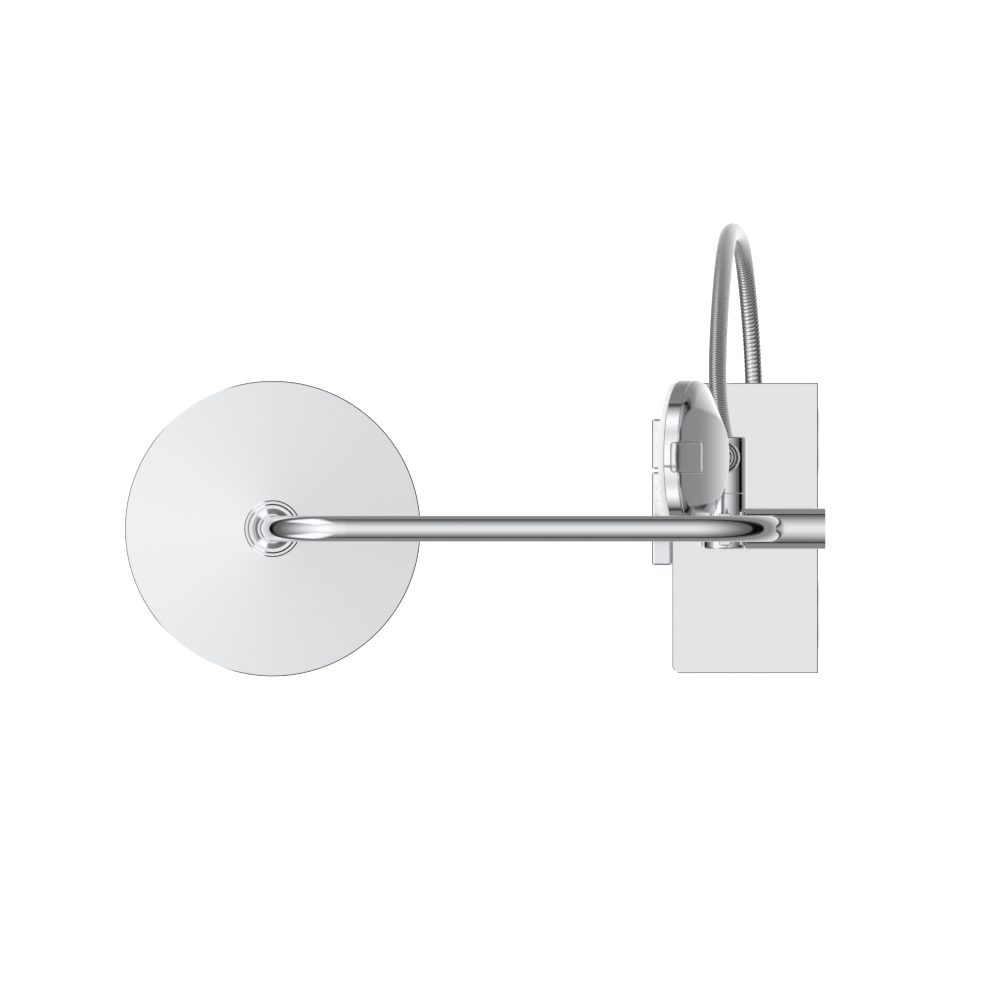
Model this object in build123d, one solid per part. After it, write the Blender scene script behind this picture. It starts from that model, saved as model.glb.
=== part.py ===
"""Wall-mounted thermostatic shower column, written as one STEP file per piece.

Frame, in millimetres: the wall's face is the plane Y = 0 and the user stands on the -Y side.
X = 0 is the riser's centre plane, +X is the user's right, and Z = 0 is the inlets' axis, +Z up.
The column is a mixer bar under a glass shelf, a riser, a swivelling arm with a round overhead
shower on a ball joint, and a hand shower on a sliding holder with a flexible hose.
"""

from build123d import *
from math import asin, cos, pi, radians, sin, tan
import os

# ---------------------------------------------------------------- driving dimensions
# Riser, arm and wall bracket
riser_d = 22.0
tube_wall = 1.5
riser_off_wall = 46.0
arm_reach = 420.7
arm_bend_r = 62.0
arm_end_drop = 6.0
bracket_height = 880.0
bracket_d = 34.6
bracket_length = 69.0
arm_lift = 3.0

# Overhead shower
overhead_d = 250.0
overhead_rise = 11.5
overhead_rim = 9.0
overhead_wall = 2.5
rim_chamfer = 0.9
collar_d = 48.0
collar_step_d = 42.0
ball_r = 11.0
ball_tilt = 12.0

# Shelf and mixer
shelf_width = 250.4
shelf_depth = 125.8
shelf_corner_r = 7.0
glass_thick = 6.0
shelf_height = 30.2
casing_width = 196.0
casing_height = 60.0
casing_front = 122.0
casing_back = 30.0
casing_wall = 3.0
inlet_spacing = 150.0
key_front = 143.8
key_height = 40.0
key_travel = 3.0
hand_key_width = 43.5
hand_key_x = -72.35
overhead_key_width = 80.7
overhead_key_x = -8.15
knob_d = 48.0
knob_length = 26.0

# Slider and holder
slider_height = 560.0
cross_d = 37.5
cross_off_wall = 83.2
holder_seam = -30.0
cross_right = 17.2
handset_x = -60.4
holder_end_wall = 4.0
liner_wall = 1.2
clamp_d = 34.0
clamp_height = 44.0

# Hand shower
handle_lean = 5.0
face_lean = 8.0
head_up = 136.0
head_forward = 21.0
ring_d = 131.0
ring_thick = 11.8
face_d = 127.0
face_proud = 5.5
face_seat = 6.0
handle_d = 21.0
cone_angle = 25.0
cone_depth = 43.2
shoulder_round = 10.0
crown_r = 225.0
crown_depth = 31.0
crown_drop = 40.0
head_wall = 2.5
button_wall = 2.6
button_low = 30.0
button_travel = 0.8

# Hose and its nuts
hose_d = 15.6
cone_nut_top_d = 24.0
cone_nut_bottom_d = 17.0
cone_nut_length = 38.0
hose_outlet_y = -50.0

# Clearances
running = 0.05
gap = 0.3
fit = 0.02

# ---------------------------------------------------------------- derived places
riser_y = -riser_off_wall
riser_r = riser_d / 2
bore_r = riser_r - tube_wall
arm_z = bracket_height + bracket_d / 2 + arm_lift + arm_bend_r
overhead_y = riser_y - arm_reach
arm_end_z = arm_z - arm_bend_r - arm_end_drop
nut_drop = 11.0
nut_gap = 4.2
collar_top = 7.5
ball_z = arm_end_z - nut_drop - nut_gap - collar_top
shell_top = ball_z - 10.0
rim_top = shell_top - overhead_rise
rim_low = rim_top - overhead_rim
cross_y = -cross_off_wall
cross_r = cross_d / 2
holder_left = handset_x - cone_nut_top_d / 2 - liner_wall - gap - holder_end_wall
tray_thick = 3.3
pad_thick = 1.0
glass_low = shelf_height + tray_thick + pad_thick
glass_top = glass_low + glass_thick
shelf_back = 0.5
body_y = -77.0
body_r = 20.0
UP, DOWN = (0, 0, 1), (0, 0, -1)
OUT, BACK = (0, -1, 0), (0, 1, 0)
LEFT, RIGHT = (-1, 0, 0), (1, 0, 0)


def rod(start, direction, r, length):
    """Solid round bar from start along direction."""
    bar = Cylinder(r, length, align=(Align.CENTER, Align.CENTER, Align.MIN))
    return Plane(origin=start, z_dir=direction) * bar


def tube(start, direction, r, hole_r, length):
    """Round bar with a hole right through it."""
    return rod(start, direction, r, length) - rod(start, direction, hole_r, length)


def cone(start, direction, r_start, r_end, length):
    """Tapered round bar, r_start at start."""
    if abs(r_start - r_end) < 1e-6:
        return rod(start, direction, r_start, length)
    bar = Cone(r_start, r_end, length, align=(Align.CENTER, Align.CENTER, Align.MIN))
    return Plane(origin=start, z_dir=direction) * bar


def block(low, high):
    """Rectangular block between two corners."""
    size = [h - l for l, h in zip(low, high)]
    middle = [(h + l) / 2 for l, h in zip(low, high)]
    return Pos(*middle) * Box(*size)


def hex_bar(start, direction, across, length):
    """Hexagonal bar, across its flats."""
    outline = RegularPolygon(across / 2, 6, major_radius=False)
    return Plane(origin=start, z_dir=direction) * extrude(outline, amount=length)


def turned(points, place=Location()):
    """Body of revolution about Z from (radius, height) points, put at place."""
    outline = make_face(Polyline(*[(r, 0, z) for r, z in points], close=True))
    return place * revolve(outline, Axis.Z)


# ---------------------------------------------------------------- riser, bracket and arm
def riser_pieces():
    low = 8.0
    top = bracket_height
    pieces = {"riser_tube": tube((0, riser_y, low), UP, riser_r, bore_r, top - low)}
    pieces["riser_seal"] = tube((0, riser_y, low - 3), UP, riser_r - 0.5, bore_r - 1, 3)
    ring = tube((0, riser_y, glass_top), UP, clamp_d / 2, riser_r + gap, 4)
    pieces["riser_rosette"] = chamfer(ring.faces().sort_by(Axis.Z)[-1].outer_wire().edges(), 1)
    return pieces


def bracket_pieces():
    z = bracket_height
    pocket_r = bracket_d / 2 - 3.0
    pocket_depth = 24.0
    sleeve = rod((0, 0, z), OUT, bracket_d / 2, bracket_length)
    sleeve = chamfer(sleeve.faces().sort_by(Axis.Y)[0].edges(), 1.5)
    sleeve -= rod((0, 0, z), OUT, pocket_r, pocket_depth)
    sleeve -= rod((0, riser_y, z - bracket_d), UP, riser_r + running, 2 * bracket_d)
    screw_r = 2.5
    screw_z = z - 6.0
    front_gap = bracket_length - riser_off_wall - riser_r - fit
    sleeve -= rod((0, -bracket_length, screw_z), BACK, screw_r, front_gap)
    wall_hole_r = 2.75
    plate = rod((0, 0, z), OUT, pocket_r - gap, 4.0)
    plate += rod((0, -4.0, z), OUT, 9.0, pocket_depth - 5.0)
    plate -= rod((0, 0, z), OUT, wall_hole_r, 4.0)
    plate -= rod((0, -4.0, z), OUT, 6.0, pocket_depth)
    grub = rod((0, -bracket_length + 2.0, screw_z), BACK, screw_r, front_gap - 2.0)
    grub -= hex_bar((0, -bracket_length + 2.0, screw_z), BACK, 2.5, 3.0)
    socket_depth = 30.0
    seal_low = z - 10.0
    spigot = tube((0, riser_y, z - socket_depth), UP, bore_r - running, 7.0, socket_depth + 20)
    groove_r = bore_r - 1.6
    for step in (0, -10):
        spigot -= tube((0, riser_y, seal_low + step), UP, bore_r, groove_r, 2.4)
    seals = [
        tube((0, riser_y, seal_low + step + 0.1), UP, bore_r - running, groove_r, 2.2)
        for step in (0, -10)
    ]
    return {
        "wall_bracket": sleeve,
        "wall_plate": plate,
        "bracket_grub_screw": grub,
        "arm_spigot": spigot,
        "spigot_seals": Compound(seals),
    }


def arm_tube():
    corners = [
        (0, riser_y, bracket_height + 1.0),
        (0, riser_y, arm_z),
        (0, overhead_y, arm_z),
        (0, overhead_y, arm_end_z),
    ]
    path = FilletPolyline(*corners, radius=arm_bend_r)
    start = Plane(origin=corners[0], z_dir=UP)
    outer = sweep(start * Circle(riser_r), path=path)
    inner = sweep(start * Circle(bore_r), path=path)
    return {"arm_tube": outer - inner}


# ---------------------------------------------------------------- ball joint, overhead shower
def ball_joint_pieces():
    at = Pos(0, overhead_y, ball_z)
    neck_r = 6.5
    nut_low = collar_top + nut_gap
    nut_top = arm_end_z - ball_z + 7.3
    nut = turned(
        [
            (riser_r + fit, arm_end_z - ball_z),
            (riser_r + fit, nut_top),
            (riser_r + 1.4, nut_top),
            (riser_r + 3.5, nut_top - 2.2),
            (riser_r + 6.0, nut_top - 4.0),
            (riser_r + 6.0, nut_low + 1.0),
            (riser_r + 5.0, nut_low),
            (neck_r + fit, nut_low),
            (neck_r + fit, nut_low + 4.0),
            (bore_r, nut_low + 4.0),
            (bore_r, arm_end_z - ball_z),
        ],
        at,
    )
    stub = Sphere(ball_r) + rod((0, 0, 0), UP, neck_r, nut_low + 4.0)
    stub += rod((0, 0, nut_low + 4.0), UP, bore_r - fit, 4.0)
    stub -= rod((0, 0, -ball_r), UP, 4.0, 60)
    seat_r = ball_r + 2.0
    lip_z = 6.0
    seat_high = seat_r * sin(asin(lip_z / seat_r) - radians(ball_tilt + 1.5))
    seat = Sphere(seat_r) - Sphere(ball_r + running)
    seat &= block((-20, -20, -4.5), (20, 20, seat_high))
    collar = turned(
        [
            (9.4, collar_top),
            (collar_step_d / 2 - 1.2, collar_top),
            (collar_step_d / 2, collar_top - 1.2),
            (collar_step_d / 2, -1.5),
            (collar_d / 2 - 1.0, -1.5),
            (collar_d / 2, -2.5),
            (collar_d / 2, -10.0),
            (9.4, -10.0),
        ]
    )
    collar -= Sphere(seat_r + running) & block((-20, -20, -20), (20, 20, lip_z))
    collar -= rod((0, 0, -10.5), UP, 10.2, 5.0)
    return {
        "arm_end_nut": nut,
        "ball_stub": at * stub,
        "ball_seat": at * seat,
        "ball_collar": at * collar,
    }


def nozzle_places(rings, first, pitch):
    """Nozzle centres on rings: first on the inner ring, as many again on each further ring."""
    return [
        (pitch * (i + 1) * cos(2 * pi * k / (first * (i + 1))),
         pitch * (i + 1) * sin(2 * pi * k / (first * (i + 1))))
        for i in range(rings)
        for k in range(first * (i + 1))
    ]


def overhead_pieces():
    r = overhead_d / 2
    wall = overhead_wall
    water_r = 9.0
    at = Pos(0, overhead_y, 0)
    shell = turned(
        [
            (water_r, shell_top),
            (collar_d / 2, shell_top),
            (r - rim_chamfer, rim_top),
            (r, rim_top - rim_chamfer),
            (r, rim_low),
            (r - wall, rim_low),
            (r - wall, rim_top - wall),
            (collar_d / 2, shell_top - wall),
            (water_r, shell_top - wall),
        ],
        at,
    )
    plate_r = r - wall - gap
    plate_thick = 2.0
    mat_thick = 1.2
    lid_thick = 1.5
    plate_top = rim_low + 0.4 + plate_thick
    mat_top = plate_top + mat_thick
    nozzle_r = 1.5
    nozzle_proud = 1.6
    places = nozzle_places(4, 6, 24.0)
    plate = rod((0, 0, rim_low + 0.4), UP, plate_r, plate_thick)
    mat = rod((0, 0, plate_top), UP, plate_r - 2, mat_thick)
    for x, y in places:
        plate -= rod((x, y, rim_low), UP, nozzle_r + gap / 2, 4)
        mat += cone((x, y, plate_top), DOWN, nozzle_r, 1.0, plate_thick + 0.4 + nozzle_proud)
    for x, y in places:
        mat -= rod((x, y, rim_low - 4), UP, 0.45, 8)
    lid = rod((0, 0, mat_top), UP, plate_r - 2, lid_thick)
    for x, y in nozzle_places(1, 6, 40.0):
        lid -= rod((x, y, mat_top), UP, 4.0, lid_thick)
    gasket = tube((0, 0, mat_top + lid_thick), UP, plate_r - 2, plate_r - 6, 1.0)
    return {
        "overhead_shell": shell,
        "overhead_spray_plate": at * plate,
        "overhead_nozzle_mat": at * mat,
        "overhead_distributor": at * lid,
        "overhead_gasket": at * gasket,
    }


# ---------------------------------------------------------------- shelf
def shelf_pieces():
    half = shelf_width / 2
    front = -(shelf_depth + shelf_back)
    glass = block((-half, front, glass_low), (half, -shelf_back, glass_top))
    corners = glass.edges().filter_by(Axis.Z).sort_by(Axis.Y)[:2]
    glass = fillet(corners, shelf_corner_r)
    glass = chamfer(glass.faces().sort_by(Axis.Z)[-1].edges(), 0.8)
    hole = rod((0, riser_y, 0), UP, riser_r + 1.0, 100)
    inset = 3.0
    tray = block(
        (-half + inset, front + inset, shelf_height),
        (half - inset, -shelf_back - 1, shelf_height + tray_thick),
    )
    tray = fillet(tray.edges().filter_by(Axis.Z).sort_by(Axis.Y)[:2], shelf_corner_r - inset / 2)
    pads = [
        rod((x, y, shelf_height + tray_thick), UP, 8.0, pad_thick)
        for x in (-half + 25, half - 25)
        for y in (front + 25, -25)
    ]
    return {
        "shelf_glass": glass - hole,
        "shelf_tray": tray - hole,
        "shelf_pads": Compound(pads),
    }


# ---------------------------------------------------------------- mixer bar
def mixer_pieces():
    half = casing_width / 2
    high = casing_height / 2
    w = casing_wall
    inlet_x = inlet_spacing / 2
    outer = block((-half, -casing_front, -high), (half, -casing_back, high))
    outer = fillet(outer.edges().filter_by(Axis.X), 8.0)
    inner = block((-half, -casing_front + w, -high + w), (half, -casing_back - w, high - w))
    casing = outer - fillet(inner.edges().filter_by(Axis.X), 8.0 - w)
    for x in (-inlet_x, inlet_x):
        casing -= rod((x, -casing_back - w, 0), BACK, 18.0, w)
    boss_r = riser_r + 2.0
    boss_y = (riser_y + hose_outlet_y) / 2
    casing -= rod((0, boss_y, -high), UP, boss_r + gap, 2 * high)
    stem_r = 5.0
    valve_r = 8.4
    key_xs = (hand_key_x, overhead_key_x)
    for x in key_xs:
        casing -= rod((x, -casing_front, 0), BACK, valve_r + gap, w)

    body = rod((-half + 5, body_y, 0), RIGHT, body_r, casing_width - 10)
    for x in (-inlet_x, inlet_x):
        body += rod((x, body_y, 0), BACK, 14.0, -body_y - 46.0)
    body += block((-boss_r, body_y, -boss_r), (boss_r, boss_y, boss_r))
    body += rod((0, boss_y, -high + 0.5), UP, boss_r, 2 * high - 1.0)
    body -= rod((0, riser_y, 5.0), UP, riser_r + fit, high)
    body -= rod((0, riser_y, -5.0), UP, 7.0, 12)
    body -= rod((0, hose_outlet_y, -high), UP, 7.0, high - 2)
    cartridge_r = 14.0
    cartridge_x = half - 55
    body -= rod((cartridge_x, body_y, 0), RIGHT, cartridge_r + fit, 60)
    valve_back = 72.5
    for x in key_xs:
        body -= rod((x, -valve_back, 0), OUT, valve_r + fit, 40)
    check_y = 58.0
    for x in (-inlet_x, inlet_x):
        body -= rod((x, -46.0, 0), OUT, 9.0 + fit, check_y - 46.0)

    spindle_r = 4.0
    cartridge = rod((cartridge_x, body_y, 0), RIGHT, cartridge_r, half - 5 - cartridge_x)
    cartridge += rod((half - 5, body_y, 0), RIGHT, 8.0, 5.0)
    cartridge += rod((half, body_y, 0), RIGHT, spindle_r, 16.0)
    stem_reach = 20.0
    valves = {}
    for name, x in zip(("hand_valve", "overhead_valve"), key_xs):
        valve = rod((x, -valve_back, 0), OUT, valve_r, casing_front - valve_back - 3.5)
        valves[name] = valve - rod((x, -casing_front, 0), BACK, stem_r + running, stem_reach + 4)
    checks = [rod((x, -check_y, 0), BACK, 9.0, check_y - 46.5) for x in (-inlet_x, inlet_x)]

    end_cap = rod((-half, body_y, 0), LEFT, knob_d / 2, knob_length)
    end_cap = fillet(end_cap.faces().sort_by(Axis.X)[0].edges(), 2.0)
    closers = []
    for side in (-1, 1):
        plate = block(
            (side * half - w / 2 - side * w / 2, -casing_front + w + gap, -high + w + gap),
            (side * half + w / 2 - side * w / 2, -casing_back - w - gap, high - w - gap),
        )
        plate = fillet(plate.edges().filter_by(Axis.X), 8.0 - w - gap)
        closers.append(plate - rod((side * half - 10, body_y, 0), RIGHT, 9.0, 20))

    nipple_low = -44.0
    nipple = tube((0, hose_outlet_y, nipple_low), UP, 10.3, 7.0, -high - nipple_low)
    return {
        "mixer_casing": casing,
        "mixer_body": body,
        "temperature_cartridge": cartridge,
        **valves,
        "check_valves": Compound(checks),
        "left_end_cap": end_cap,
        "casing_end_plates": Compound(closers),
        "hose_outlet": nipple,
    }


def inlet_pieces():
    """Hot and cold inlets: union, wall cover, union nut and washer, a pair of each."""
    thread_r = 9.3
    thread_length = 14.0
    cover_r = 29.8
    pairs = {"inlet_unions": [], "inlet_covers": [], "inlet_nuts": [], "inlet_washers": []}
    for x in (-inlet_spacing / 2, inlet_spacing / 2):
        union = rod((x, 0, 0), OUT, 12.0, 44.0)
        union += hex_bar((x, -22.0, 0), OUT, 26.0, 5.0)
        union -= rod((x, 0, 0), OUT, thread_r, thread_length)
        union -= rod((x, -thread_length, 0), OUT, 8.0, 40)
        pairs["inlet_unions"].append(union)
        cover = rod((x, 0, 0), OUT, cover_r, 10.0)
        cover = fillet(cover.faces().sort_by(Axis.Y)[0].edges(), 4.0)
        pairs["inlet_covers"].append(cover - rod((x, 0, 0), OUT, 12.0 + gap, 10.0))
        nut = hex_bar((x, -29.0, 0), OUT, 31.0, 14.0)
        pairs["inlet_nuts"].append(nut - rod((x, 0, 0), OUT, 12.0 + fit, 50))
        pairs["inlet_washers"].append(tube((x, -44.0, 0), OUT, 12.0, 8.0, 2.0))
    return {name: Compound(pair) for name, pair in pairs.items()}


def key(x, width):
    """Push key: a softly rounded block on a round stem that slides in its valve."""
    rest_gap = key_travel + 1.3
    back = -casing_front - rest_gap
    high = key_height / 2
    pad = block((x - width / 2, -key_front, -high), (x + width / 2, back, high))
    pad = fillet(pad.edges(), 2.4)
    return pad + rod((x, back - 4, 0), BACK, 5.0, 4 + rest_gap + 16.0)


def key_spring(x):
    rest_gap = key_travel + 1.3
    return tube((x, -casing_front + 2.0, 0), OUT, 8.0, 6.0, rest_gap + 2.0)


def knob_pieces():
    x = casing_width / 2 + 0.5
    knob = rod((x, body_y, 0), RIGHT, knob_d / 2, knob_length - 0.5)
    knob = fillet(knob.faces().sort_by(Axis.X)[-1].edges(), 2.0)
    knob -= rod((x, body_y, 0), RIGHT, 10.0, 6.0)
    knob -= rod((x, body_y, 0), RIGHT, 4.0 + running, 17.0)
    stop_x = x + 13.0
    stop_r = 4.5
    stop_low = knob_d / 2 - 7.0
    knob -= rod((stop_x, body_y, stop_low), UP, stop_r + running, 10.0)
    button = rod((stop_x, body_y, stop_low + 2.5), UP, stop_r, 5.5)
    button = fillet(button.faces().sort_by(Axis.Z)[-1].edges(), 0.8)
    return {"temperature_knob": knob, "stop_button": button}


# ---------------------------------------------------------------- slider and holder
def slider_pieces():
    z = slider_height
    sleeve_r = riser_r + 1.5
    clamp = rod((0, riser_y, z - clamp_height / 2), UP, clamp_d / 2, clamp_height)
    clamp = chamfer(clamp.edges().filter_by(GeomType.CIRCLE), 1.0)
    fixed_length = cross_right - holder_seam - gap
    barrel = rod((holder_seam + gap, cross_y, z), RIGHT, cross_r, fixed_length)
    barrel = chamfer(barrel.faces().sort_by(Axis.X)[-1].edges(), 1.0)
    clamp += barrel
    clamp += block((-14, cross_y, z - 14), (14, riser_y, z + 14))
    clamp -= rod((0, riser_y, z - clamp_height), UP, sleeve_r, 2 * clamp_height)
    axle_r = 6.0
    axle_end = holder_seam - 9.0
    axle_reach = 19.0
    clamp -= rod((holder_seam - 1, cross_y, z), RIGHT, axle_r, axle_reach + 1)
    button_half = 4.7
    button_left, button_right = cross_right - 29.7, cross_right - 3.0
    pad_low = z + cross_r - 6.0
    clamp -= block(
        (button_left - gap, cross_y - button_half - gap, pad_low - 4.0),
        (button_right + gap, cross_y + button_half + gap, z + cross_r + 1),
    )
    button = block(
        (button_left, cross_y - button_half, pad_low),
        (button_right, cross_y + button_half, z + cross_r + 0.8),
    )
    button = fillet(button.edges().filter_by(Axis.Z), 1.5)
    button = fillet(button.faces().sort_by(Axis.Z)[-1].edges(), 0.7)
    button_x = (button_left + button_right) / 2
    spring = tube((button_x, cross_y, pad_low - 4.0), UP, 4.0, 2.8, 4.0)
    insert = tube((0, riser_y, z - clamp_height / 2), UP, sleeve_r - fit, riser_r + running, clamp_height)
    axle = rod((axle_end, cross_y, z), RIGHT, axle_r - fit, holder_seam - axle_end + axle_reach - 1)
    return {
        "slider_clamp": clamp,
        "slider_insert": insert,
        "release_button": button,
        "release_spring": spring,
        "tilt_axle": axle,
    }


def handset_place():
    """Where the handle's axis crosses the holder's axis, leaning as the handle does."""
    return Location((handset_x, cross_y, slider_height), (handle_lean, 0, 0))


def nut_radius(height, extra=0.0):
    """Radius of the cone nut at a height above its lower end."""
    share = height / cone_nut_length
    return extra + cone_nut_bottom_d / 2 + share * (cone_nut_top_d - cone_nut_bottom_d) / 2


def holder_pieces():
    z = slider_height
    at = handset_place()
    half = cross_r + 2
    nut_low = -cone_nut_length + 12.0
    cap_thick = 3.0
    barrel_left = holder_left + cap_thick
    barrel = rod((barrel_left, cross_y, z), RIGHT, cross_r, holder_seam - barrel_left)
    cap = rod((holder_left, cross_y, z), RIGHT, cross_r, cap_thick)
    cap = chamfer(cap.faces().sort_by(Axis.X)[0].edges(), 1.0)
    seat = cone(
        (0, 0, -half), UP, nut_radius(-half - nut_low, liner_wall + gap),
        nut_radius(half - nut_low, liner_wall + gap), 2 * half,
    )
    slot_half = hose_d / 2 + 0.6
    slot = block((-slot_half, -2 * half, -2 * half), (slot_half, 0, 2 * half))
    barrel -= at * seat
    barrel -= at * slot
    barrel -= rod((holder_seam + 1, cross_y, z), LEFT, 6.0 + running, 11.0)
    liner = seat & block((-half, -half, -cross_r + 3), (half, half, cross_r - 3))
    liner -= cone(
        (0, 0, -half), UP, nut_radius(-half - nut_low, gap),
        nut_radius(half - nut_low, gap), 2 * half,
    )
    liner -= slot
    return {"holder_barrel": barrel, "holder_end_cap": cap, "holder_liner": at * liner}


# ---------------------------------------------------------------- hand shower
def head_place():
    """Head's own frame: +Z is the spray direction and the origin is the ring's centre."""
    centre = handset_place() * Pos(0, -head_forward, head_up)
    return centre * Rot(90 + face_lean, 0, 0)


def head_form(inset, front):
    """Head's form with its wall drawn inward: side, cone, and a crown bowed down to the handle."""
    side_r = ring_d / 2 - inset
    tip = cone_depth - inset / cos(radians(cone_angle))
    slope = tan(radians(cone_angle))
    side_low = -(tip - side_r * slope)
    tip_r = 6.0
    body = turned(
        [
            (0, front),
            (side_r, front),
            (side_r, side_low),
            (tip_r, -(tip - tip_r * slope)),
            (0, -(tip - tip_r * slope) - 1.2),
        ]
    )
    shoulder = [e for e in body.edges() if abs(e.center().Z - side_low) < 0.01]
    body = fillet(shoulder, shoulder_round - inset)
    crown_centre = (-ring_d, -crown_drop, crown_r - crown_depth)
    return body & rod(crown_centre, RIGHT, crown_r - inset, 2 * ring_d)


def button_prism(grow, below=0.0):
    """Column that cuts the push button out of the head's crown, below deeper for its travel."""
    half_width = 12.5 + grow
    front, back = -0.5 + grow, -24.0 - grow
    prism = block((-half_width, button_low - below, back), (half_width, ring_d, front))
    return fillet(prism.edges().filter_by(Axis.Y), 3.0)


def handset_pieces():
    at = handset_place()
    head = head_place()
    ring_half = ring_thick / 2
    handle_low = 12.0
    handle_taper = 14.0
    grip_r = handle_d / 2
    handle_top = head_up - 14.0 - grip_r
    handle = cone((0, 0, handle_low), UP, cone_nut_top_d / 2, grip_r, handle_taper)
    straight = handle_top - handle_low - handle_taper
    handle += rod((0, 0, handle_low + handle_taper), UP, grip_r, straight)
    handle += Pos(0, 0, handle_top) * Sphere(grip_r)
    waterway_r = 5.4
    water_bore = rod((0, 0, handle_low - 1), UP, waterway_r + 0.5, handle_top - handle_low)
    shell = head * head_form(0.0, -ring_half)
    shell += at * handle - head * rod((0, 0, -ring_half), UP, 90, 90)
    shell -= head * head_form(head_wall, head_wall - ring_half)
    shell -= at * water_bore
    pocket = button_prism(gap, button_travel + gap)
    shell -= head * pocket
    ring = tube((0, 0, -ring_half), UP, ring_d / 2, face_d / 2 + gap, ring_thick)
    ring = chamfer(ring.faces().sort_by(Axis.Z)[-1].outer_wire().edges(), 0.6)
    ring -= pocket
    face_top = ring_half + face_proud
    face_thick = ring_thick - face_seat + face_proud
    face = rod((0, 0, face_top - face_thick), UP, face_d / 2, face_thick)
    face = fillet(face.faces().sort_by(Axis.Z)[-1].edges(), 1.8)
    nozzles = None
    nozzle_r = 1.1
    for x, y in nozzle_places(4, 6, 13.0):
        face -= rod((x, y, face_top - 3), UP, nozzle_r + 0.1, 4)
        stud = cone((x, y, face_top - 3), UP, nozzle_r, 0.8, 3.7)
        nozzles = stud if nozzles is None else nozzles + stud
    backing_thick = 2.0
    backing = rod((0, 0, face_top - face_thick), DOWN, face_d / 2 - 4.5, backing_thick)
    waterway = at * tube((0, 0, handle_low), UP, waterway_r, 4.2, handle_top - handle_low - 4)
    waterway -= head * rod((0, 0, -ring_half - gap), UP, 90, 60)
    button = head_form(0.0, ring_half) - head_form(button_wall, ring_half + 1)
    button &= button_prism(0.0)
    return {
        "handset_shell": shell,
        "handset_ring": head * ring,
        "handset_face": head * face,
        "handset_nozzles": head * nozzles,
        "handset_backing": head * backing,
        "handset_waterway": waterway,
        "handset_button": head * button,
    }


# ---------------------------------------------------------------- hose and its nuts
def hose_pieces():
    at = handset_place()
    upper_low = 12.0 - cone_nut_length
    cone_nut = cone(
        (0, 0, upper_low), UP, cone_nut_bottom_d / 2, cone_nut_top_d / 2, cone_nut_length
    )
    cone_nut -= rod((0, 0, 0), UP, 9.0, 20)
    cone_nut -= rod((0, 0, upper_low + 4), UP, 6.0, 40)
    washer = tube((0, 0, 10.0), UP, 8.9, 6.8, 2.0)
    lower_top, lower_low = -34.0, -52.0
    collar_nut = rod((0, hose_outlet_y, lower_low), UP, 12.5, lower_top - lower_low)
    collar_nut -= rod((0, hose_outlet_y, lower_low + 5), UP, 10.3 + fit, 30)
    collar_nut -= rod((0, hose_outlet_y, lower_low + 2), UP, 6.0, 30)
    collar_nut = chamfer(collar_nut.faces().sort_by(Axis.Z)[0].outer_wire().edges(), 2.0)
    seal = tube((0, hose_outlet_y, lower_low + 5.2), UP, 10.0, 6.5, 2.6)

    exit_low = (0, hose_outlet_y, lower_low)
    top = (at * Pos(0, 0, upper_low)).position
    low_run = (at * Pos(0, 0, upper_low - 36)).position
    points = [
        exit_low,
        (0, hose_outlet_y, -112),
        (2, -50.5, -190),
        (3, -51, -262),
        (1, -51.5, -328),
        (-7, -51.8, -386),
        (-38, -51.5, -438),
        (-92, -52, -467),
        (-158, -54.5, -466),
        (-215, -59.5, -433),
        (-247, -64.5, -376),
        (-256, -69, -290),
        (-257, -73, -190),
        (-254, -77, -75),
        (-246, -79.5, 40),
        (-228, -82.5, 145),
        (-198, -85.5, 235),
        (-160, -88, 312),
        (-123, -89, 372),
        (-92, -86.5, 421),
        (-69, -81.5, 463),
        (low_run.X, low_run.Y, low_run.Z),
        (top.X, top.Y, top.Z),
    ]
    vectors = [Vector(*p) for p in points]
    radii = []
    for a, b, c in zip(vectors, vectors[1:], vectors[2:]):
        turn = (b - a).get_angle(c - b)
        shorter = min((b - a).length, (c - b).length)
        radii.append(0.45 * shorter / tan(radians(turn) / 2))
    print("hose radii", [round(r) for r in radii])
    print("hose runs", [round((b - a).length) for a, b in zip(vectors, vectors[1:])])
    path = FilletPolyline(*vectors, radius=radii)
    start = Plane(origin=vectors[0], z_dir=vectors[1] - vectors[0])
    hose = sweep(start * Circle(hose_d / 2), path=path)
    section = pi * hose_d**2 / 4
    print("hose length", round(path.length, 1), "volume share", hose.volume / section / path.length)
    return {
        "hose": hose,
        "hose_cone_nut": at * cone_nut,
        "hose_upper_washer": at * washer,
        "hose_collar_nut": collar_nut,
        "hose_lower_washer": seal,
    }


pieces = {
    **riser_pieces(),
    **bracket_pieces(),
    **arm_tube(),
    **ball_joint_pieces(),
    **overhead_pieces(),
    **shelf_pieces(),
    **mixer_pieces(),
    **inlet_pieces(),
    "hand_key": key(hand_key_x, hand_key_width),
    "overhead_key": key(overhead_key_x, overhead_key_width),
    "key_springs": Compound([key_spring(hand_key_x), key_spring(overhead_key_x)]),
    **knob_pieces(),
    **slider_pieces(),
    **holder_pieces(),
    **handset_pieces(),
    **hose_pieces(),
}

os.makedirs("parts", exist_ok=True)
for name, shape in pieces.items():
    export_step(shape, f"parts/{name}.step")
print(len(pieces), "pieces written")
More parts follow.
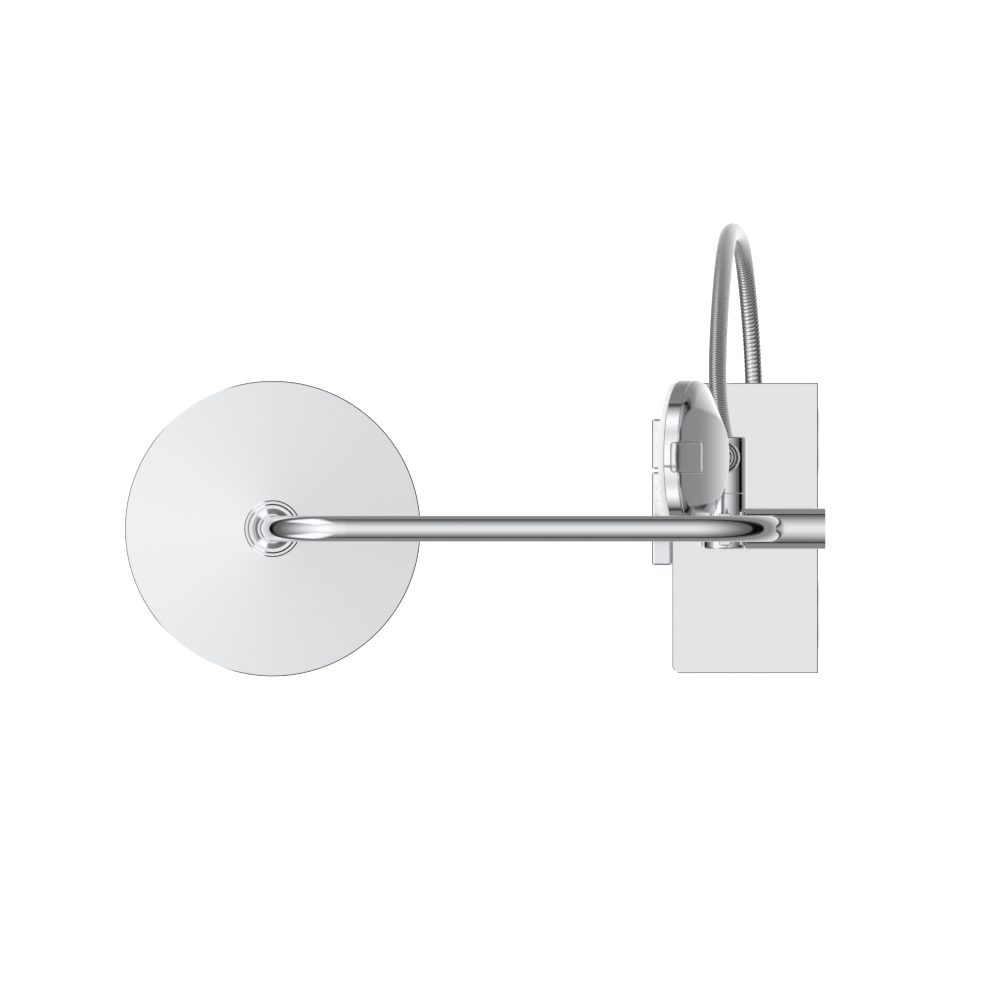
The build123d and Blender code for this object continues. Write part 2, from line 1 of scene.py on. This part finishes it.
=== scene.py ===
"""Wall-mounted thermostatic shower column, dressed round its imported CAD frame.

Metres, in the frame of the CAD part: the wall is Y = 0, the user stands on the -Y side, +Z is up.
"""
import bpy
import math
import numpy as np
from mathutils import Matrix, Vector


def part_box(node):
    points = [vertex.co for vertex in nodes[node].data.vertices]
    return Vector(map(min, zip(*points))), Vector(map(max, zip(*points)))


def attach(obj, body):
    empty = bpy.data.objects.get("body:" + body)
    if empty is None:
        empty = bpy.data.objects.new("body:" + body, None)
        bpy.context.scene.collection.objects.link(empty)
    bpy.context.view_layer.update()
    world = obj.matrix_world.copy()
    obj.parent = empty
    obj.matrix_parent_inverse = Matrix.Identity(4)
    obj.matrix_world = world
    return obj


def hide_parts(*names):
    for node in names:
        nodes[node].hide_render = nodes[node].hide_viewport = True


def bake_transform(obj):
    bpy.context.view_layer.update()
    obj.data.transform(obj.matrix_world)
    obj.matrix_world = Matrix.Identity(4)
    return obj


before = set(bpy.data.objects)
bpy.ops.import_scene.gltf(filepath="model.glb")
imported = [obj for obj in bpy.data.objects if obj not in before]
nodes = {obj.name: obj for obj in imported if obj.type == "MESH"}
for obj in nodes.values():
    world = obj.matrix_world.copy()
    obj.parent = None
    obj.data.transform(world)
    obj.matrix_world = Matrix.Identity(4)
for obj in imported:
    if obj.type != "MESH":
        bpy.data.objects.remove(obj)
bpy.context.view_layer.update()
scene = bpy.context.scene
mm = 0.001

# ---------------------------------------------------------------- camera
# A long lens straight above the column, so that the riser and the arm show end on and full length.
# The top of the picture is the user's left, and the wall is at the picture's right.
lens_mm, sensor_mm = 1700.0, 36.0
frame_width = 0.8532
aim = (-0.0242, -0.2747, 0.45)
camera_data = bpy.data.cameras.new("camera_above")
camera_data.lens, camera_data.sensor_width = lens_mm, sensor_mm
camera_up = frame_width * lens_mm / sensor_mm
camera_data.clip_start, camera_data.clip_end = 1.0, 2 * camera_up
camera = bpy.data.objects.new("camera_above", camera_data)
camera.location = (aim[0], aim[1], aim[2] + camera_up)
camera.rotation_euler = (0, 0, math.radians(90))
scene.collection.objects.link(camera)
scene.camera = camera
scene.view_settings.view_transform = "Standard"


# ---------------------------------------------------------------- shower hose
# Spiral-wound chrome-plated steel strip, 1.6 m, that hangs in one deep loop from the mixer's
# underside up to the hand shower. Its crimped ends are swaged into the collar nut and the cone nut.
# It is drawn in three lengths, end to end.
hose_d = 15.6 * mm
hose_route_mm = [
    (0, -50, -52), (0, -50, -112), (2, -50.5, -190), (3, -51, -262), (1, -51.5, -328),
    (-7, -51.8, -386), (-38, -51.5, -438), (-92, -52, -467), (-158, -54.5, -466),
    (-215, -59.5, -433), (-247, -64.5, -376), (-256, -69, -290), (-257, -73, -190),
    (-254, -77, -75), (-246, -79.5, 40), (-228, -82.5, 145), (-198, -85.5, 235),
    (-160, -88, 312), (-123, -89, 372), (-92, -86.5, 421), (-69, -81.5, 463),
    (-60.4, -77.8, 498.24), (-60.4, -80.93, 534.1),
]


def smooth_line(name, points_mm):
    """Points along an order 3 NURBS spline whose control points are points_mm, ends included."""
    data = bpy.data.curves.new(name, "CURVE")
    data.dimensions, data.resolution_u = "3D", 24
    spline = data.splines.new("NURBS")
    spline.points.add(len(points_mm) - 1)
    flat = [c for p in points_mm for c in (p[0] * mm, p[1] * mm, p[2] * mm, 1.0)]
    spline.points.foreach_set("co", flat)
    spline.order_u, spline.use_endpoint_u = 3, True
    holder = bpy.data.objects.new(name, data)
    mesh = bpy.data.meshes.new_from_object(holder)
    line = np.empty(3 * len(mesh.vertices))
    mesh.vertices.foreach_get("co", line)
    bpy.data.meshes.remove(mesh)
    bpy.data.objects.remove(holder)
    bpy.data.curves.remove(data)
    return line.reshape(-1, 3)


def along_line(line):
    """Distance from the first point to each point, as the running sum of the steps."""
    return np.concatenate([[0.0], np.cumsum(np.linalg.norm(np.diff(line, axis=0), axis=1))])


def resample(line, step):
    """The line's points again, one each step, by linear interpolation over its own length."""
    along = along_line(line)
    at = np.linspace(0, along[-1], int(round(along[-1] / step)) + 1)
    return np.stack([np.interp(at, along, line[:, k]) for k in range(3)], axis=1)


def section_axes(line):
    """Two unit vectors across the line at each point: the line's direction crossed with the fixed
    direction it never points along, +Y, and the direction crossed with that again."""
    tangent = np.gradient(line, axis=0)
    tangent /= np.linalg.norm(tangent, axis=1, keepdims=True)
    side = np.cross(tangent, (0.0, 1.0, 0.0))
    side /= np.linalg.norm(side, axis=1, keepdims=True)
    return side, np.cross(tangent, side)


def mesh_object(name, points, faces, smooth=True):
    """An object at the origin from an array of points and a list of faces."""
    data = bpy.data.meshes.new(name)
    data.from_pydata(points.tolist(), [], faces)
    data.polygons.foreach_set("use_smooth", [smooth] * len(data.polygons))
    data.update()
    piece = bpy.data.objects.new(name, data)
    scene.collection.objects.link(piece)
    return piece


def grid_faces(rows, columns):
    """Quads of a grid whose columns join round, plus a fan at each end onto a pole point.
    Point i * columns + j is row i, column j; the poles are the last two points."""
    i, j = np.meshgrid(np.arange(rows - 1), np.arange(columns), indexing="ij")
    a, b = i * columns + j, i * columns + (j + 1) % columns
    quads = np.stack([a, b, b + columns, a + columns], axis=-1).reshape(-1, 4)
    low, high, k = rows * columns, rows * columns + 1, np.arange(columns)
    first = np.stack([np.full(columns, low), (k + 1) % columns, k], axis=-1)
    base = (rows - 1) * columns
    last = np.stack([np.full(columns, high), base + k, base + (k + 1) % columns], axis=-1)
    return quads.tolist() + first.tolist() + last.tolist()


def wound_tube(name, line, before, radius, pitch, groove, around=24):
    """Tube along line whose radius is radius - groove * |2 f - 1| ** 3, where f is the fraction
    of a turn of the winding: distance along, which is before at the first point, divided by pitch,
    minus angle / full turn. The deep part of that
    curve is the narrow joint between two turns of strip. Attribute joint holds the same curve."""
    side, other = section_axes(line)
    angle = np.linspace(0, 2 * math.pi, around, endpoint=False)
    turn = (before + along_line(line)[:, None]) / pitch - angle[None, :] / (2 * math.pi)
    joint = np.abs(2 * (turn % 1.0) - 1.0) ** 3
    r = (radius - groove * joint)[..., None]
    out = np.cos(angle)[None, :, None] * side[:, None] + np.sin(angle)[None, :, None] * other[:, None]
    points = (line[:, None] + r * out).reshape(-1, 3)
    points = np.concatenate([points, line[:1], line[-1:]])
    piece = mesh_object(name, points, grid_faces(len(line), around))
    attribute = piece.data.attributes.new("joint", "FLOAT", "POINT")
    attribute.data.foreach_set("value", np.concatenate([joint.ravel(), [0.0, 0.0]]))
    return piece


strip_pitch = 3.9 * mm
rings_each_pitch = 7
ring_step = strip_pitch / rings_each_pitch
groove_depth = 0.7 * mm
bend_length = 130 * mm
hose_line = resample(smooth_line("hose_route", hose_route_mm), ring_step)
bend_rings = int(bend_length / ring_step)
cuts = [0, len(hose_line) - 1 - 2 * bend_rings, len(hose_line) - 1 - bend_rings, len(hose_line) - 1]
hose_along = along_line(hose_line)


def linear(hex_colour):
    """An sRGB hex colour such as "A0B1C2" as linear red, green, blue and alpha 1."""
    parts = [int(hex_colour[k : k + 2], 16) / 255 for k in (0, 2, 4)]
    curve = [c / 12.92 if c <= 0.04045 else ((c + 0.055) / 1.055) ** 2.4 for c in parts]
    return (*curve, 1.0)


def add(tree, kind, inputs=(), **settings):
    """Adds a node, sets its own properties, and fills its inputs: a socket links, a value sets."""
    made = tree.nodes.new(kind)
    for key, value in settings.items():
        setattr(made, key, value)
    for key, value in dict(inputs).items():
        if isinstance(value, bpy.types.NodeSocket):
            tree.links.new(value, made.inputs[key])
        else:
            made.inputs[key].default_value = value
    return made


def stops(node, places):
    """Gives a colour ramp these (position, hex colour) stops."""
    ramp = node.color_ramp
    while len(ramp.elements) > 1:
        ramp.elements.remove(ramp.elements[-1])
    for k, (at, colour) in enumerate(places):
        element = ramp.elements[0] if k == 0 else ramp.elements.new(at)
        element.position, element.color = at, linear(colour)
    return node


def new_material(name):
    """An empty material: its node tree and the output node's surface socket."""
    material = bpy.data.materials.new(name)
    material.use_nodes = True
    tree = material.node_tree
    tree.nodes.clear()
    return material, tree, tree.nodes.new("ShaderNodeOutputMaterial").inputs["Surface"]


def wound_strip_chrome():
    """Chrome-plated wound steel strip: bright rounded turns, with painted shade darkening the narrow joint
    between them.
    """
    material, tree, surface = new_material("wound_steel_strip_chrome")
    joint = add(tree, "ShaderNodeAttribute", attribute_name="joint")
    # Painted shade: the colour ramp darkens the strip towards the joint, where the groove between two turns
    # lies in shade.
    groove_shade = stops(add(tree, "ShaderNodeValToRGB", {"Fac": joint.outputs["Fac"]}),
                 [(0.0, "F0F1F3"), (0.55, "D8DADD"), (0.88, "55575A"), (1.0, "2A2B2D")])
    rough = add(tree, "ShaderNodeMapRange", {"Value": joint.outputs["Fac"], "To Min": 0.08, "To Max": 0.5})
    shader = add(tree, "ShaderNodeBsdfPrincipled",
                 {"Base Color": groove_shade.outputs["Color"], "Roughness": rough.outputs["Result"], "Metallic": 1.0})
    tree.links.new(shader.outputs["BSDF"], surface)
    return material


hose_finish = wound_strip_chrome()
lengths = [("shower_hose", "root", "slider"), ("shower_hose_bend", "slider", "holder"),
           ("shower_hose_end", "holder", "hand_shower")]
ends = [[nodes["hose_collar_nut"]], [], [nodes["hose_cone_nut"]]]
for (name, below, above), low, high, nuts in zip(lengths, cuts, cuts[1:], ends):
    line = hose_line[low : high + 1]
    piece = wound_tube(name, line, hose_along[low], hose_d / 2, strip_pitch, groove_depth)
    piece.data.materials.append(hose_finish)
    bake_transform(piece)
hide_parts("hose")


def dress(finish, *names):
    """Gives these CAD nodes one finish, in every material slot that they have."""
    for name in names:
        for holder in nodes[name].material_slots:
            holder.material = finish


# ---------------------------------------------------------------- riser and wall bracket
# A 22 mm brass tube, drawn, buffed and chrome plated, stands in the mixer and is clamped by a
# turned brass sleeve that a steel grub screw locks on its wall plate. A rosette covers the hole
# in the shelf. The plate is a deep mirror, with faint buffing waves and thin smears of lime.
def soft_edge(tree, radius_mm):
    """Normal that rounds sharp edges by radius_mm, as buffing does."""
    return add(tree, "ShaderNodeBevel", {"Radius": radius_mm * mm}, samples=4).outputs["Normal"]


def noise(tree, size_mm, detail, vector=None):
    """Noise whose blotches are about size_mm across, on the piece's own coordinates."""
    place = vector or add(tree, "ShaderNodeTexCoord").outputs["Object"]
    made = add(tree, "ShaderNodeTexNoise", {"Vector": place, "Scale": 1 / (size_mm * mm), "Detail": detail})
    return made.outputs["Fac"]


def between(tree, value, low, high, from_low=0.0, from_high=1.0):
    """value carried from one range to another, and held at its ends."""
    made = add(tree, "ShaderNodeMapRange", {"Value": value, "From Min": from_low, "From Max": from_high,
                                             "To Min": low, "To Max": high})
    return made.outputs["Result"]


def blended(tree, factor, first, second):
    """Colour first where factor is 0, second where it is 1."""
    return add(tree, "ShaderNodeMix", {"Factor": factor, 6: first, 7: second}, data_type="RGBA").outputs[2]


def raised(tree, height, height_mm, edge_mm):
    """Normal of a surface with this relief, height_mm high, on softly rounded edges."""
    made = add(tree, "ShaderNodeBump", {"Height": height, "Strength": 1.0, "Distance": height_mm * mm,
                                         "Normal": soft_edge(tree, edge_mm)})
    return made.outputs["Normal"]


def plated(name, colour, smear_mm, wave_mm, wave_height_mm, edge_mm, rough_low, rough_high):
    """Bright plate: mirror colour, roughness that varies over smear_mm, and waves wave_mm long."""
    material, tree, surface = new_material(name)
    rough = between(tree, noise(tree, smear_mm, 3.0), rough_low, rough_high, 0.35, 0.7)
    normal = raised(tree, noise(tree, wave_mm, 1.0), wave_height_mm, edge_mm)
    shader = add(tree, "ShaderNodeBsdfPrincipled",
                 {"Base Color": linear(colour), "Metallic": 1.0, "Roughness": rough, "Normal": normal})
    tree.links.new(shader.outputs["BSDF"], surface)
    return material


def worked(name, colour, lines_mm, height_mm, roughness, stretch):
    """Bare machined or brushed metal: noise drawn out along stretch makes the tool lines."""
    material, tree, surface = new_material(name)
    place = add(tree, "ShaderNodeTexCoord").outputs["Object"]
    drawn = add(tree, "ShaderNodeMapping", {"Vector": place, "Scale": stretch}).outputs["Vector"]
    lines = noise(tree, lines_mm, 3.0, drawn)
    shader = add(tree, "ShaderNodeBsdfPrincipled",
                 {"Base Color": linear(colour), "Metallic": 1.0,
                  "Roughness": between(tree, lines, roughness * 0.8, roughness * 1.3),
                  "Normal": raised(tree, lines, height_mm, 0.3)})
    tree.links.new(shader.outputs["BSDF"], surface)
    return material


def moulded(name, colour, tone, grain_mm, grain_height_mm, roughness, coat=0.0):
    """Moulded plastic or rubber: a colour that drifts to tone, a fine grain and a soft gloss."""
    material, tree, surface = new_material(name)
    shader = add(tree, "ShaderNodeBsdfPrincipled",
                 {"Base Color": blended(tree, noise(tree, 25, 4.0), linear(colour), linear(tone)),
                  "Roughness": roughness, "Coat Weight": coat, "Coat Roughness": 0.08,
                  "Normal": raised(tree, noise(tree, grain_mm, 2.0), grain_height_mm, 0.4)})
    tree.links.new(shader.outputs["BSDF"], surface)
    return material


chrome_on_brass = plated("chrome_plate_on_brass", "F1F2F4", 60, 14.0, 0.002, 0.5, 0.02, 0.05)
spring_steel = worked("drawn_spring_steel", "B4B6B8", 0.6, 0.02, 0.32, (1, 1, 0.1))
nitrile = moulded("moulded_black_nitrile_rubber", "17181A", "202123", 0.5, 0.015, 0.7)
dress(chrome_on_brass, "riser_tube", "riser_rosette", "wall_bracket")
dress(spring_steel, "wall_plate", "bracket_grub_screw")
dress(nitrile, "riser_seal")

# ---------------------------------------------------------------- arm and ball joint
# The same tube, bent twice, on a turned spigot that turns in the riser's top on two rubber rings.
# A union nut on its end holds the chromed ball, in an acetal seat inside the shower's collar.
turned_brass = worked("turned_brass", "D3B26A", 0.8, 0.02, 0.25, (1, 1, 0.1))
acetal = moulded("moulded_grey_acetal", "5C5E60", "525456", 0.4, 0.008, 0.42)
dress(chrome_on_brass, "arm_tube", "arm_end_nut", "ball_stub", "ball_collar")
dress(turned_brass, "arm_spigot")
dress(nitrile, "spigot_seals")
dress(acetal, "ball_seat")

# ---------------------------------------------------------------- overhead shower
# A shallow cone moulded in ABS, etched and chrome plated, a shade softer than plate on brass. Its
# white spray plate lets the silicone nozzles of the mat behind it through, to be rubbed clean.
chrome_on_abs = plated("chrome_plate_on_moulded_abs", "F0F1F3", 60, 16.0, 0.0004, 0.5, 0.03, 0.05)
white_abs = moulded("gloss_moulded_white_abs", "F6F6F4", "EDEDEA", 0.6, 0.004, 0.22, coat=0.4)
silicone = moulded("moulded_grey_silicone", "A9AFB5", "9BA1A8", 0.5, 0.01, 0.55)
dress(chrome_on_abs, "overhead_shell")
dress(white_abs, "overhead_spray_plate")
dress(silicone, "overhead_nozzle_mat")
dress(acetal, "overhead_distributor")
dress(nitrile, "overhead_gasket")


# ---------------------------------------------------------------- shelf
# Silvered float glass with ground edges on four pads and an anodised tray. It is a mirror from
# above, and its edge shows the pale green of the iron in the glass.
def silvered_glass():
    """Mirror where the face looks up or down, and pale green glass where it looks sideways."""
    material, tree, surface = new_material("silvered_float_glass")
    outward = add(tree, "ShaderNodeNewGeometry").outputs["Normal"]
    facing = add(tree, "ShaderNodeSeparateXYZ", {"Vector": outward})
    level = add(tree, "ShaderNodeMath", {0: facing.outputs["Z"]}, operation="ABSOLUTE").outputs["Value"]
    top = between(tree, level, 0.0, 1.0, 0.35, 0.5)
    shader = add(tree, "ShaderNodeBsdfPrincipled",
                 {"Base Color": blended(tree, top, linear("A9C9BD"), linear("F1F2F2")), "Metallic": top,
                  "Roughness": between(tree, noise(tree, 55, 4.0), 0.01, 0.04, 0.35, 0.75),
                  "Normal": soft_edge(tree, 0.5)})
    tree.links.new(shader.outputs["BSDF"], surface)
    return material


dress(silvered_glass(), "shelf_glass")
dress(worked("satin_anodised_aluminium", "CFD1D3", 0.7, 0.02, 0.3, (0.05, 1, 1)), "shelf_tray")
dress(acetal, "shelf_pads")

# ---------------------------------------------------------------- mixer bar
# A brass casting carries the thermostatic cartridge, two push valves and the check valves. A
# chromed ABS casing hides it, closed at the left by a turned cap that matches the knob.
dress(chrome_on_abs, "mixer_casing")
dress(chrome_on_brass, "left_end_cap", "hose_outlet")
dress(turned_brass, "mixer_body", "temperature_cartridge", "hand_valve", "overhead_valve")
dress(acetal, "check_valves", "casing_end_plates")

# ---------------------------------------------------------------- push keys
# Two chromed ABS keys, rounded all round like river pebbles, click in on steel springs: the wide
# one opens the overhead shower and the narrow one the hand shower.
dress(chrome_on_abs, "hand_key", "overhead_key", "stop_button")
dress(spring_steel, "key_springs")


# ---------------------------------------------------------------- temperature knob
# Turned brass, 48 mm across, with straight flutes milled round its grip for wet fingers and a
# smooth land where the safety stop's button stands. A red and blue ring is inlaid in its end.
def fluted_knob(name, start_x, length, radius, axis_y, flutes, depth):
    """Turned profile carried round the axis along +X. Radius is the profile's radius minus depth *
    grip * (half minus half the cosine of flutes * angle), and grip fades out round the button."""
    profile = np.array([
        (0.0, 0.0, 0), (0.0, 0.94, 0), (0.03, 0.97, 0), (0.1, 0.985, 0), (0.14, 0.985, 0),
        (0.16, 0.95, 0), (0.2, 0.95, 0), (0.22, 0.99, 0), (0.26, 1.0, 0.3), (0.3, 1.0, 0.8),
        (0.36, 1.0, 1), (0.5, 1.0, 1), (0.64, 1.0, 1), (0.78, 1.0, 1), (0.84, 1.0, 0.8),
        (0.88, 0.995, 0.3), (0.92, 0.985, 0), (0.96, 0.965, 0), (0.985, 0.935, 0), (1.0, 0.9, 0),
        (1.0, 0.74, 0), (0.985, 0.72, 0), (0.985, 0.4, 0), (0.985, 0.0, 0),
    ])
    around = flutes * 8
    angle = np.linspace(0, 2 * math.pi, around, endpoint=False)
    away = np.abs((angle + math.pi) % (2 * math.pi) - math.pi)
    land = np.clip((away - math.radians(15)) / math.radians(8), 0, 1)
    wave = (0.5 - 0.5 * np.cos(flutes * angle)) * land
    rows = profile[1:-1]
    r = radius * rows[:, 1:2] - depth * rows[:, 2:3] * wave[None, :]
    x = start_x + length * rows[:, 0:1] + 0 * r
    points = np.stack([x, axis_y - r * np.sin(angle), r * np.cos(angle)], axis=-1).reshape(-1, 3)
    poles = [(start_x, axis_y, 0.0), (start_x + length * profile[-1, 0], axis_y, 0.0)]
    return mesh_object(name, np.concatenate([points, poles]), grid_faces(len(rows), around))


knob_low, knob_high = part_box("temperature_knob")
knob_radius = (knob_high[2] - knob_low[2]) / 2
knob_y = (knob_low[1] + knob_high[1]) / 2
knob_length = knob_high[0] - knob_low[0]
flute_count, flute_depth = 40, 0.9 * mm
knob = fluted_knob("fluted_knob", knob_low[0], knob_length, knob_radius, knob_y, flute_count, flute_depth)
knob.data.materials.append(chrome_on_brass)
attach(knob, "knob")
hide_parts("temperature_knob")


def inlaid_ring(name, at_x, inner, outer, axis_y, thick):
    """Flat ring with domed edges round the axis along +X: a half ellipse carried round a circle."""
    around, across = 96, 9
    angle = np.linspace(0, 2 * math.pi, around, endpoint=False)
    share = np.linspace(0, math.pi, across)
    r = (inner + outer) / 2 - (outer - inner) / 2 * np.cos(share)
    x = at_x + thick * np.sin(share) ** 0.5
    points = np.stack([x[:, None] + 0 * angle, axis_y - r[:, None] * np.sin(angle),
                       r[:, None] * np.cos(angle)], axis=-1).reshape(-1, 3)
    i, j = np.meshgrid(np.arange(across), np.arange(around), indexing="ij")
    a, b = i * around + j, i * around + (j + 1) % around
    up = ((i + 1) % across - i) * around
    quads = np.stack([a, b, b + up, a + up], axis=-1).reshape(-1, 4)
    return mesh_object(name, points, quads.tolist())


def two_tone_enamel():
    """Fired enamel in a milled groove: red on the warm half of the turn, blue on the cool half."""
    material, tree, surface = new_material("fired_two_tone_enamel")
    place = add(tree, "ShaderNodeTexCoord").outputs["Object"]
    side = add(tree, "ShaderNodeSeparateXYZ", {"Vector": place}).outputs["Y"]
    half = between(tree, side, 0.0, 1.0, knob_y - 0.2 * mm, knob_y + 0.2 * mm)
    drift = blended(tree, noise(tree, 6, 2.0), linear("B8322C"), linear("A92B27"))
    shader = add(tree, "ShaderNodeBsdfPrincipled",
                 {"Base Color": blended(tree, half, drift, linear("2E5FA8")), "Roughness": 0.18,
                  "Coat Weight": 0.6, "Coat Roughness": 0.05,
                  "Normal": raised(tree, noise(tree, 1.5, 2.0), 0.01, 0.2)})
    tree.links.new(shader.outputs["BSDF"], surface)
    return material


inlay_sunk, inlay_thick = 0.6 * mm, 0.7 * mm
inlay_inner, inlay_outer = 0.77 * knob_radius, 0.84 * knob_radius
inlay = inlaid_ring("knob_inlay", knob_high[0] - inlay_sunk, inlay_inner, inlay_outer, knob_y, inlay_thick)
inlay.data.materials.append(two_tone_enamel())
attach(inlay, "knob")

# ---------------------------------------------------------------- inlets
# Two unions with milled hexagons join the casing to the wall, each with a rubber washer, a union
# nut and a thin spun cover that hides the hole in the tiles.
dress(chrome_on_brass, "inlet_unions", "inlet_covers", "inlet_nuts")
dress(nitrile, "inlet_washers")

# ---------------------------------------------------------------- slider and holder
# A cast and plated clamp slides on the riser over an acetal sleeve until its button is pressed.
# The holder tilts on a brass axle and has an acetal liner that the hand shower's nut drops into.
dress(chrome_on_brass, "slider_clamp", "holder_barrel", "holder_end_cap")
dress(acetal, "slider_insert")
dress(moulded("moulded_natural_acetal", "E9E9E4", "E1E1DB", 0.4, 0.006, 0.3), "holder_liner")
dress(chrome_on_abs, "release_button")
dress(spring_steel, "release_spring")
dress(turned_brass, "tilt_axle")

# ---------------------------------------------------------------- hand shower
# The plated ABS shell runs down into a 21 mm handle. The spray button is cut out of its crown, and
# the gloss white face, with its silicone nozzles, stands a little proud of the chromed rim. The
# shell's mould is polished round wherever two forms meet, so its edges are softer than the others.
softer_chrome = plated("chrome_plate_on_soft_edged_abs", "F0F1F3", 60, 16.0, 0.0004, 3.5, 0.03, 0.05)
dress(softer_chrome, "handset_shell", "handset_button")
dress(chrome_on_abs, "handset_ring")
dress(white_abs, "handset_face")
dress(silicone, "handset_nozzles")
dress(acetal, "handset_backing", "handset_waterway")

# ---------------------------------------------------------------- hose nuts
# A turned collar nut under the mixer and a tapered cone nut that sits in the holder, each with a
# rubber washer. They hold the hose's crimped ends and turn freely on them.
dress(chrome_on_brass, "hose_collar_nut", "hose_cone_nut")
dress(nitrile, "hose_lower_washer", "hose_upper_washer")
dress(hose_finish, "hose")

# ---------------------------------------------------------------- floor and light
# A plain pale bathroom floor under the column, and a soft white studio all round it.
floor_z, floor_half = -1.1, 40.0
floor = mesh_object("pale_floor", floor_half * np.array([(-1, -1, 0), (1, -1, 0), (1, 1, 0), (-1, 1, 0)])
                    + np.array((0, 0, floor_z)), [(0, 1, 2, 3)], smooth=False)
floor_material, tree, surface = new_material("pale_matt_floor")
speck = add(tree, "ShaderNodeTexNoise", {"Vector": add(tree, "ShaderNodeTexCoord").outputs["Object"],
                                          "Scale": 1 / (300 * mm), "Detail": 2.0})
tone = add(tree, "ShaderNodeMix", {"Factor": speck.outputs["Fac"], 6: linear("FFFFFF"), 7: linear("FBFBFB")},
           data_type="RGBA")
glow = add(tree, "ShaderNodeEmission", {"Color": tone.outputs[2], "Strength": 0.5})
matt = add(tree, "ShaderNodeBsdfDiffuse", {"Color": tone.outputs[2]})
both = add(tree, "ShaderNodeAddShader", {0: glow.outputs["Emission"], 1: matt.outputs["BSDF"]})
tree.links.new(both.outputs["Shader"], surface)
floor.data.materials.append(floor_material)
floor.visible_glossy = False

world = bpy.data.worlds.new("soft_studio")
scene.world = world
world.use_nodes = True
sky = world.node_tree
sky.nodes.clear()
mirror_share = 0.88


def studio_side(stops_deg):
    """Ramp over the angle from straight up, from (degrees, grey 0 to 255) as polished metal shows it."""
    ramp = add(sky, "ShaderNodeValToRGB", {"Fac": from_top.outputs["Value"]})
    return stops(ramp, [(d / 180, f"{g:02X}" * 3) for d, g in stops_deg]).outputs["Color"]


way = add(sky, "ShaderNodeTexCoord").outputs["Generated"]
axes = add(sky, "ShaderNodeSeparateXYZ", {"Vector": way})
angle = add(sky, "ShaderNodeMath", {0: axes.outputs["Z"]}, operation="ARCCOSINE")
from_top = add(sky, "ShaderNodeMath", {0: angle.outputs["Value"], 1: math.pi}, operation="DIVIDE")
flat = add(sky, "ShaderNodeCombineXYZ", {"X": axes.outputs["X"], "Y": axes.outputs["Y"]})
across = add(sky, "ShaderNodeVectorMath", {0: flat.outputs["Vector"]}, operation="NORMALIZE")
to_wall = add(sky, "ShaderNodeSeparateXYZ", {"Vector": across.outputs["Vector"]}).outputs["Y"]
wall_part = add(sky, "ShaderNodeMapRange", {"Value": to_wall, "From Min": 0.0, "From Max": 1.0})
room_part = add(sky, "ShaderNodeMapRange", {"Value": to_wall, "From Min": 0.0, "From Max": -1.0})
sides = studio_side([(0, 228), (7, 228), (14, 226), (18, 221), (26, 210), (35, 196), (45, 181), (55, 160),
                     (65, 133), (76, 112), (83, 92), (85, 12), (90, 12), (92, 133), (140, 133),
                     (160, 190), (175, 250)])
wall_side = studio_side([(0, 227), (9, 223), (13, 218), (20, 208), (34, 184), (48, 152), (63, 111), (77, 88),
                         (80, 8), (99, 8), (102, 134), (116, 139), (121, 149), (130, 182), (141, 213),
                         (160, 250)])
room_side = studio_side([(0, 227), (13, 239), (28, 254), (38, 254), (46, 240), (65, 207), (70, 190),
                         (85, 144), (92, 126), (102, 95), (111, 87), (117, 12), (132, 12), (136, 145),
                         (150, 198), (170, 250)])
with_wall = add(sky, "ShaderNodeMix", {"Factor": wall_part.outputs["Result"], 6: sides, 7: wall_side},
                data_type="RGBA")
with_room = add(sky, "ShaderNodeMix", {"Factor": room_part.outputs["Result"], 6: with_wall.outputs[2],
                                        7: room_side}, data_type="RGBA")
rays = add(sky, "ShaderNodeLightPath")
# Two soft boxes stand at the room's corners, from 58 degrees off straight up to 11 degrees below
# level, and fade out above and below that.
wall_share = add(sky, "ShaderNodeMath", {0: to_wall, 1: 0.5, 2: 0.5}, operation="MULTIPLY_ADD")
box_across = stops(add(sky, "ShaderNodeValToRGB", {"Fac": wall_share.outputs["Value"]}),
                   [(0.0, "000000"), (0.1, "000000"), (0.16, "FFFFFF"), (0.32, "FFFFFF"), (0.38, "000000")])
box_height = stops(add(sky, "ShaderNodeValToRGB", {"Fac": from_top.outputs["Value"]}),
                   [(0.24, "000000"), (0.32, "FFFFFF"), (0.56, "FFFFFF"), (0.62, "000000")])
box_part = add(sky, "ShaderNodeMath", {0: box_across.outputs["Color"], 1: box_height.outputs["Color"]},
               operation="MULTIPLY")
with_boxes = add(sky, "ShaderNodeMix", {"Factor": box_part.outputs["Value"], 6: with_room.outputs[2],
                                         7: linear("FAFBFC")}, data_type="RGBA")
mirrored = add(sky, "ShaderNodeBackground", {"Color": with_boxes.outputs[2], "Strength": 1 / mirror_share})
soft = add(sky, "ShaderNodeBackground", {"Color": linear("FFFFFF"), "Strength": 0.85})
white = add(sky, "ShaderNodeBackground", {"Color": linear("FFFFFF"), "Strength": 1.0})
lit = add(sky, "ShaderNodeMixShader", {0: rays.outputs["Is Glossy Ray"], 1: soft.outputs["Background"],
                                        2: mirrored.outputs["Background"]})
seen = add(sky, "ShaderNodeMixShader", {0: rays.outputs["Is Camera Ray"], 1: lit.outputs["Shader"],
                                         2: white.outputs["Background"]})
sky.links.new(seen.outputs["Shader"], sky.nodes.new("ShaderNodeOutputWorld").inputs["Surface"])

lamp_data = bpy.data.lights.new("soft_box", "AREA")
lamp_data.shape, lamp_data.size, lamp_data.size_y, lamp_data.energy = "RECTANGLE", 1.6, 1.6, 12.0
lamp = bpy.data.objects.new("soft_box", lamp_data)
lamp.location = (-1.1, -1.4, 2.4)
lamp.rotation_euler = (math.radians(38), 0, math.radians(-38))
lamp.visible_glossy = False
scene.collection.objects.link(lamp)
